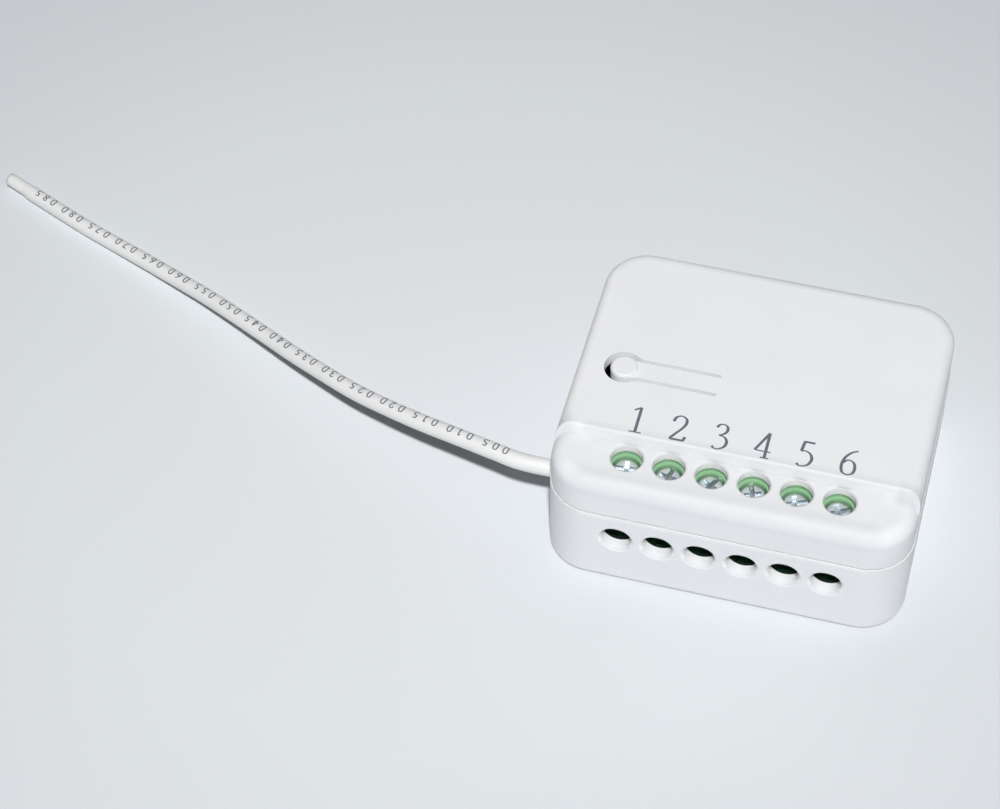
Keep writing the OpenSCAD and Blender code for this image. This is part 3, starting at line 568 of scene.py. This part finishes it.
def add_lead(materials):
    lead = Lead()
    angles = [2 * math.pi * k / RING_SIDES for k in range(RING_SIDES)]
    count = round(lead.length / RING_STEP)
    distances = [lead.length * i / count for i in range(count + 1)]

    def ring(distance, share):
        radius = share * lead.radius(distance)
        return [lead.surface(distance, angle, radius) for angle in angles]

    rings = [ring(d, 1) for d in distances]
    rings.append(ring(lead.length, SLEEVE_BORE))
    rings.append(ring(lead.length - CORE_SET_BACK, SLEEVE_BORE))
    mesh = tube_mesh("antenna_sleeve", rings)
    mesh.materials.append(materials["lead_sleeve"])
    mesh.materials.append(materials["copper_winding"])
    core = (len(rings) - 1) * RING_SIDES
    mesh.polygons[core].material_index = 1
    sleeve = link_object("antenna_sleeve", mesh)
    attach(sleeve, "case")
    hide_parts("antenna_lead")
    marks = add_length_marks(lead, materials)
    centres = [lead.section(d)[0] for d in distances]


# Figures: each is a list of strokes in a box of height 1, as a kind of line and its points
FIGURES = {
    "0": [("curve", [(0.25, 1), (0.41, 0.9), (0.47, 0.5), (0.41, 0.1), (0.25, 0)]),
          ("curve", [(0.25, 0), (0.09, 0.1), (0.03, 0.5), (0.09, 0.9), (0.25, 1)])],
    "1": [("line", [(0.10, 0.86), (0.29, 1)]),
          ("line", [(0.29, 1), (0.29, 0)]),
          ("line", [(0.10, 0.02), (0.48, 0.02)])],
    "2": [("curve", [(0.05, 0.73), (0.10, 0.90), (0.25, 0.985), (0.41, 0.90), (0.44, 0.72), (0.36, 0.52),
                     (0.20, 0.28), (0.05, 0.05)]),
          ("bar", [(0.05, 0.05), (0.47, 0.05)]),
          ("line", [(0.46, 0.04), (0.51, 0.21)])],
    "3": [("curve", [(0.07, 0.83), (0.14, 0.95), (0.26, 0.985), (0.38, 0.91), (0.40, 0.76), (0.32, 0.62),
                     (0.18, 0.54)]),
          ("curve", [(0.18, 0.54), (0.36, 0.50), (0.46, 0.34), (0.42, 0.14), (0.26, 0.015), (0.12, 0.02),
                     (0.05, 0.09)])],
    "4": [("line", [(0.37, 1), (0.03, 0.27)]),
          ("line", [(0.03, 0.27), (0.52, 0.27)]),
          ("line", [(0.37, 1), (0.37, 0)]),
          ("line", [(0.24, 0.02), (0.50, 0.02)])],
    "5": [("bar", [(0.15, 0.95), (0.46, 0.95)]),
          ("line", [(0.15, 0.97), (0.10, 0.57)]),
          ("curve", [(0.10, 0.57), (0.24, 0.60), (0.40, 0.50), (0.46, 0.31), (0.38, 0.10), (0.22, 0.01),
                     (0.10, 0.02), (0.04, 0.09)])],
    "6": [("curve", [(0.46, 0.985), (0.28, 0.88), (0.12, 0.66), (0.055, 0.36), (0.11, 0.10), (0.26, 0.012)]),
          ("curve", [(0.26, 0.012), (0.42, 0.10), (0.465, 0.30), (0.41, 0.50), (0.27, 0.585), (0.15, 0.53),
                     (0.09, 0.45)])],
    "7": [("bar", [(0.05, 0.95), (0.47, 0.95)]),
          ("line", [(0.46, 0.96), (0.20, 0)])],
    "8": [("curve", [(0.25, 1), (0.42, 0.88), (0.40, 0.66), (0.25, 0.54), (0.08, 0.38), (0.05, 0.14),
                     (0.25, 0)]),
          ("curve", [(0.25, 0), (0.45, 0.14), (0.42, 0.38), (0.25, 0.54), (0.10, 0.66), (0.08, 0.88),
                     (0.25, 1)])],
}
FIGURE_WIDTH = 0.5
STROKE_STEPS = 8
# Height of the print, and how much higher each next stroke of a figure lies, so that no two share a plane
PRINT_LIFT = 0.012 * MM
PRINT_STEP = 0.001 * MM


def stroke_sections(kind, points, pen):
    """Left and right edges of a stroke in the figure's box; pen gives the width for a direction."""
    corners = [Vector(p) for p in points]
    if kind == "curve":
        line = smooth_line(corners, STROKE_STEPS)
    else:
        line = [corners[0].lerp(corners[1], k / STROKE_STEPS) for k in range(STROKE_STEPS + 1)]
    sections = []
    for i, point in enumerate(line):
        way = (line[min(i + 1, len(line) - 1)] - line[max(i - 1, 0)]).normalized()
        half = pen(kind, way) / 2
        across = Vector((-way.y, way.x))
        sections.append((point + half * across, point - half * across))
    return sections


def add_stroke(points, faces, sections, place, lift):
    """Adds one stroke as a thin closed slab; place puts a point of the figure's box on the object."""
    first = len(points)
    for left, right in sections:
        points += [place(left, 0), place(right, 0), place(right, lift), place(left, lift)]
    for i in range(len(sections) - 1):
        a = first + 4 * i
        for k in range(4):
            n = (k + 1) % 4
            faces.append((a + k, a + n, a + 4 + n, a + 4 + k))
    end = first + 4 * (len(sections) - 1)
    faces.append((first + 3, first + 2, first + 1, first))
    faces.append((end, end + 1, end + 2, end + 3))


def add_print(name, writing, pen, materials):
    """Piece of printed figures; writing is pairs of a figure and the function that places its box."""
    points, faces = [], []
    for figure, place in writing:
        for k, (kind, corners) in enumerate(FIGURES[figure]):
            lift = PRINT_LIFT + k * PRINT_STEP
            add_stroke(points, faces, stroke_sections(kind, corners, pen), place, lift)
    mesh = bpy.data.meshes.new(name)
    mesh.from_pydata(points, [], faces)
    mesh.materials.append(materials["print_grey"])
    piece = link_object(name, mesh)
    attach(piece, "case")
    return piece


# Length marks on the lead: millimetres from the case, printed on its upper side, read from the far side
MARK_HEIGHT = 1.05 * MM
MARK_ADVANCE = 1.4 * MM
MARK_STRETCH = 1.25
MARK_EVERY = 5
MARK_LAST = 85
MARK_START = 4.6 * MM
MARK_FOOT_ANGLE = math.radians(-30)
MARK_PEN = 0.13


def even_pen(kind, way):
    return MARK_PEN


def add_length_marks(lead, materials):
    def on_sleeve(start):
        def place(point, lift):
            distance = start + point.x * MARK_STRETCH * MARK_HEIGHT
            radius = lead.radius(distance)
            return lead.surface(distance, MARK_FOOT_ANGLE + point.y * MARK_HEIGHT / radius, radius + lift)
        return place

    writing = []
    for millimetres in range(MARK_EVERY, MARK_LAST + 1, MARK_EVERY):
        start = MARK_START + millimetres * MM
        for k, figure in enumerate(f"{millimetres:03d}"):
            writing.append((figure, on_sleeve(start + k * MARK_ADVANCE)))
    return add_print("length_marks", writing, even_pen, materials)


# Numbers printed on the roof, one behind each terminal
NUMBER_HEIGHT = 3.9 * MM
NUMBER_FOOT_Y = -10.65 * MM
THICK_STROKE = 0.095
THIN_STROKE = 0.045
BAR_STROKE = 0.8 * THICK_STROKE


def book_pen(kind, way):
    """Thick where a stroke runs up or down, thin where it runs across, as in book print."""
    if kind == "bar":
        return BAR_STROKE
    return THIN_STROKE + (THICK_STROKE - THIN_STROKE) * way.y ** 2


def add_terminal_numbers(materials):
    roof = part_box("top_cover")[1].z

    def on_roof(left):
        def place(point, lift):
            x = left + point.x * NUMBER_HEIGHT
            y = NUMBER_FOOT_Y + point.y * NUMBER_HEIGHT
            return Vector((x, y, roof + lift))
        return place

    for i in range(1, WAYS + 1):
        low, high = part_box(f"terminal_screw_{i}")
        left = (low.x + high.x) / 2 - FIGURE_WIDTH / 2 * NUMBER_HEIGHT
        add_print(f"terminal_number_{i}", [(str(i), on_roof(left))], book_pen, materials)


# Table: a painted pool of light, palest at a point left of the case and greyer outwards, to the first tone
# from
# TABLE_REACH on
TABLE_HALF = 1.5
TABLE_CENTRE = (-0.038, 0.005, 0)
TABLE_REACH = 0.11
TABLE_LIGHT_POOL_TONES = [(0.0, (0.618, 0.642, 0.671)), (0.5, (0.709, 0.743, 0.767)), (1.0, (0.743, 0.769, 0.796))]
TABLE_PATCH = 30 * MM
TABLE_ROUGHNESS = (0.55, 0.7)
TABLE_GRAIN = 1.5 * MM
TABLE_GRAIN_DEPTH = 0.004 * MM
# It is painted a little darker along the foot of the front wall, as painted shade that takes back the light
# the
# wall throws on it: the foot's line, how far the painted shade goes from there, its share along that way, and
# its colour
FOOT_CENTRE = (3 * MM, -20 * MM, 0)
FOOT_HALF = (15 * MM, 0, 0)
FOOT_REACH = 20 * MM
FOOT_SHARES = [(0, 0.6), (0.25, 0.42), (0.5, 0.2), (0.75, 0.07), (1, 0)]
FOOT_PAINTED_SHADE = (0.566, 0.589, 0.608)
# A painted contact shadow makes it darker still in a fine line round the case: the rectangle of the corners'
# centres, the distances from it at which the painted shadow is full and ends, and its colour
CASE_FOOT = (16.4 * MM, 13.1 * MM, 0)
CASE_CORNER = (5.46 * MM, 5.58 * MM)
PAINTED_CONTACT_SHADOW = (0.51, 0.525, 0.54)


def add_table():
    h = TABLE_HALF
    mesh = bpy.data.meshes.new("table")
    mesh.from_pydata([(-h, -h, 0), (h, -h, 0), (h, h, 0), (-h, h, 0)], [], [(0, 1, 2, 3)])
    material, tree, shader = new_material("table")
    place = object_place(tree)
    distance = tree.nodes.new("ShaderNodeTexGradient")
    distance.gradient_type = "SPHERICAL"
    tree.links.new(scaled(tree, place, TABLE_CENTRE, (TABLE_REACH,) * 3), distance.inputs["Vector"])
    tone = ramp(tree, distance.outputs["Fac"], TABLE_LIGHT_POOL_TONES)
    foot = rise(tree, beside(tree, place, FOOT_CENTRE, FOOT_HALF), 0, FOOT_REACH)
    tone = stained(tree, tone, ramp(tree, foot, [(p, (s, s, s)) for p, s in FOOT_SHARES]), FOOT_PAINTED_SHADE)
    contact_shadow = rise(tree, beside(tree, place, (0, 0, 0), CASE_FOOT), CASE_CORNER[1], CASE_CORNER[0])
    tone = stained(tree, tone, contact_shadow, PAINTED_CONTACT_SHADOW)
    roughness = between(tree, noise(tree, TABLE_PATCH), *TABLE_ROUGHNESS)
    paint(tree, shader, tone, roughness, bump(tree, noise(tree, TABLE_GRAIN), TABLE_GRAIN_DEPTH))
    mesh.materials.append(material)
    link_object("table", mesh)


# Light and background
KEY_AZIMUTH = math.radians(14)
KEY_ELEVATION = math.radians(61)
KEY_DISTANCE = 1.2
KEY_SIZE = 0.07
KEY_WATTS = 15.35
SKY_LIGHT = 0.035
SKY_LIGHT_COLOUR = (0.98, 0.99, 1, 1)
SKY_SEEN = 0.85
SKY_SEEN_COLOUR = (0.95, 0.97, 1, 1)


def add_key_lamp():
    """Round soft lamp a little left of the camera and above it."""
    lamp = bpy.data.lights.new("key", "AREA")
    lamp.shape = "DISK"
    lamp.size = KEY_SIZE
    lamp.energy = KEY_WATTS
    way = toward(KEY_AZIMUTH, KEY_ELEVATION)
    thing = link_object("key", lamp)
    thing.rotation_mode = "QUATERNION"
    thing.rotation_quaternion = way.to_track_quat("Z", "Y")
    thing.location = KEY_DISTANCE * way


def add_sky():
    """Even light from all round; the camera, gloss and glass see it paler."""
    world = bpy.data.worlds.new("sky")
    world.use_nodes = True
    SCENE.world = world
    tree = world.node_tree
    seen = tree.nodes["Background"]
    seen.inputs["Color"].default_value = SKY_SEEN_COLOUR
    seen.inputs["Strength"].default_value = SKY_SEEN
    light = tree.nodes.new("ShaderNodeBackground")
    light.inputs["Color"].default_value = SKY_LIGHT_COLOUR
    light.inputs["Strength"].default_value = SKY_LIGHT
    path = tree.nodes.new("ShaderNodeLightPath")
    direct = path.outputs["Is Camera Ray"]
    for ray in ("Is Glossy Ray", "Is Transmission Ray"):
        direct = combine(tree, "MAXIMUM", direct, path.outputs[ray])
    mix = tree.nodes.new("ShaderNodeMixShader")
    tree.links.new(direct, mix.inputs["Fac"])
    tree.links.new(light.outputs["Background"], mix.inputs[1])
    tree.links.new(seen.outputs["Background"], mix.inputs[2])
    tree.links.new(mix.outputs["Shader"], tree.nodes["World Output"].inputs["Surface"])


add_camera()
MATERIALS = make_materials()
add_lead(MATERIALS)
dress_nodes(MATERIALS)
add_terminal_numbers(MATERIALS)
add_table()
add_key_lamp()
add_sky()
SCENE.view_settings.view_transform = "Standard"
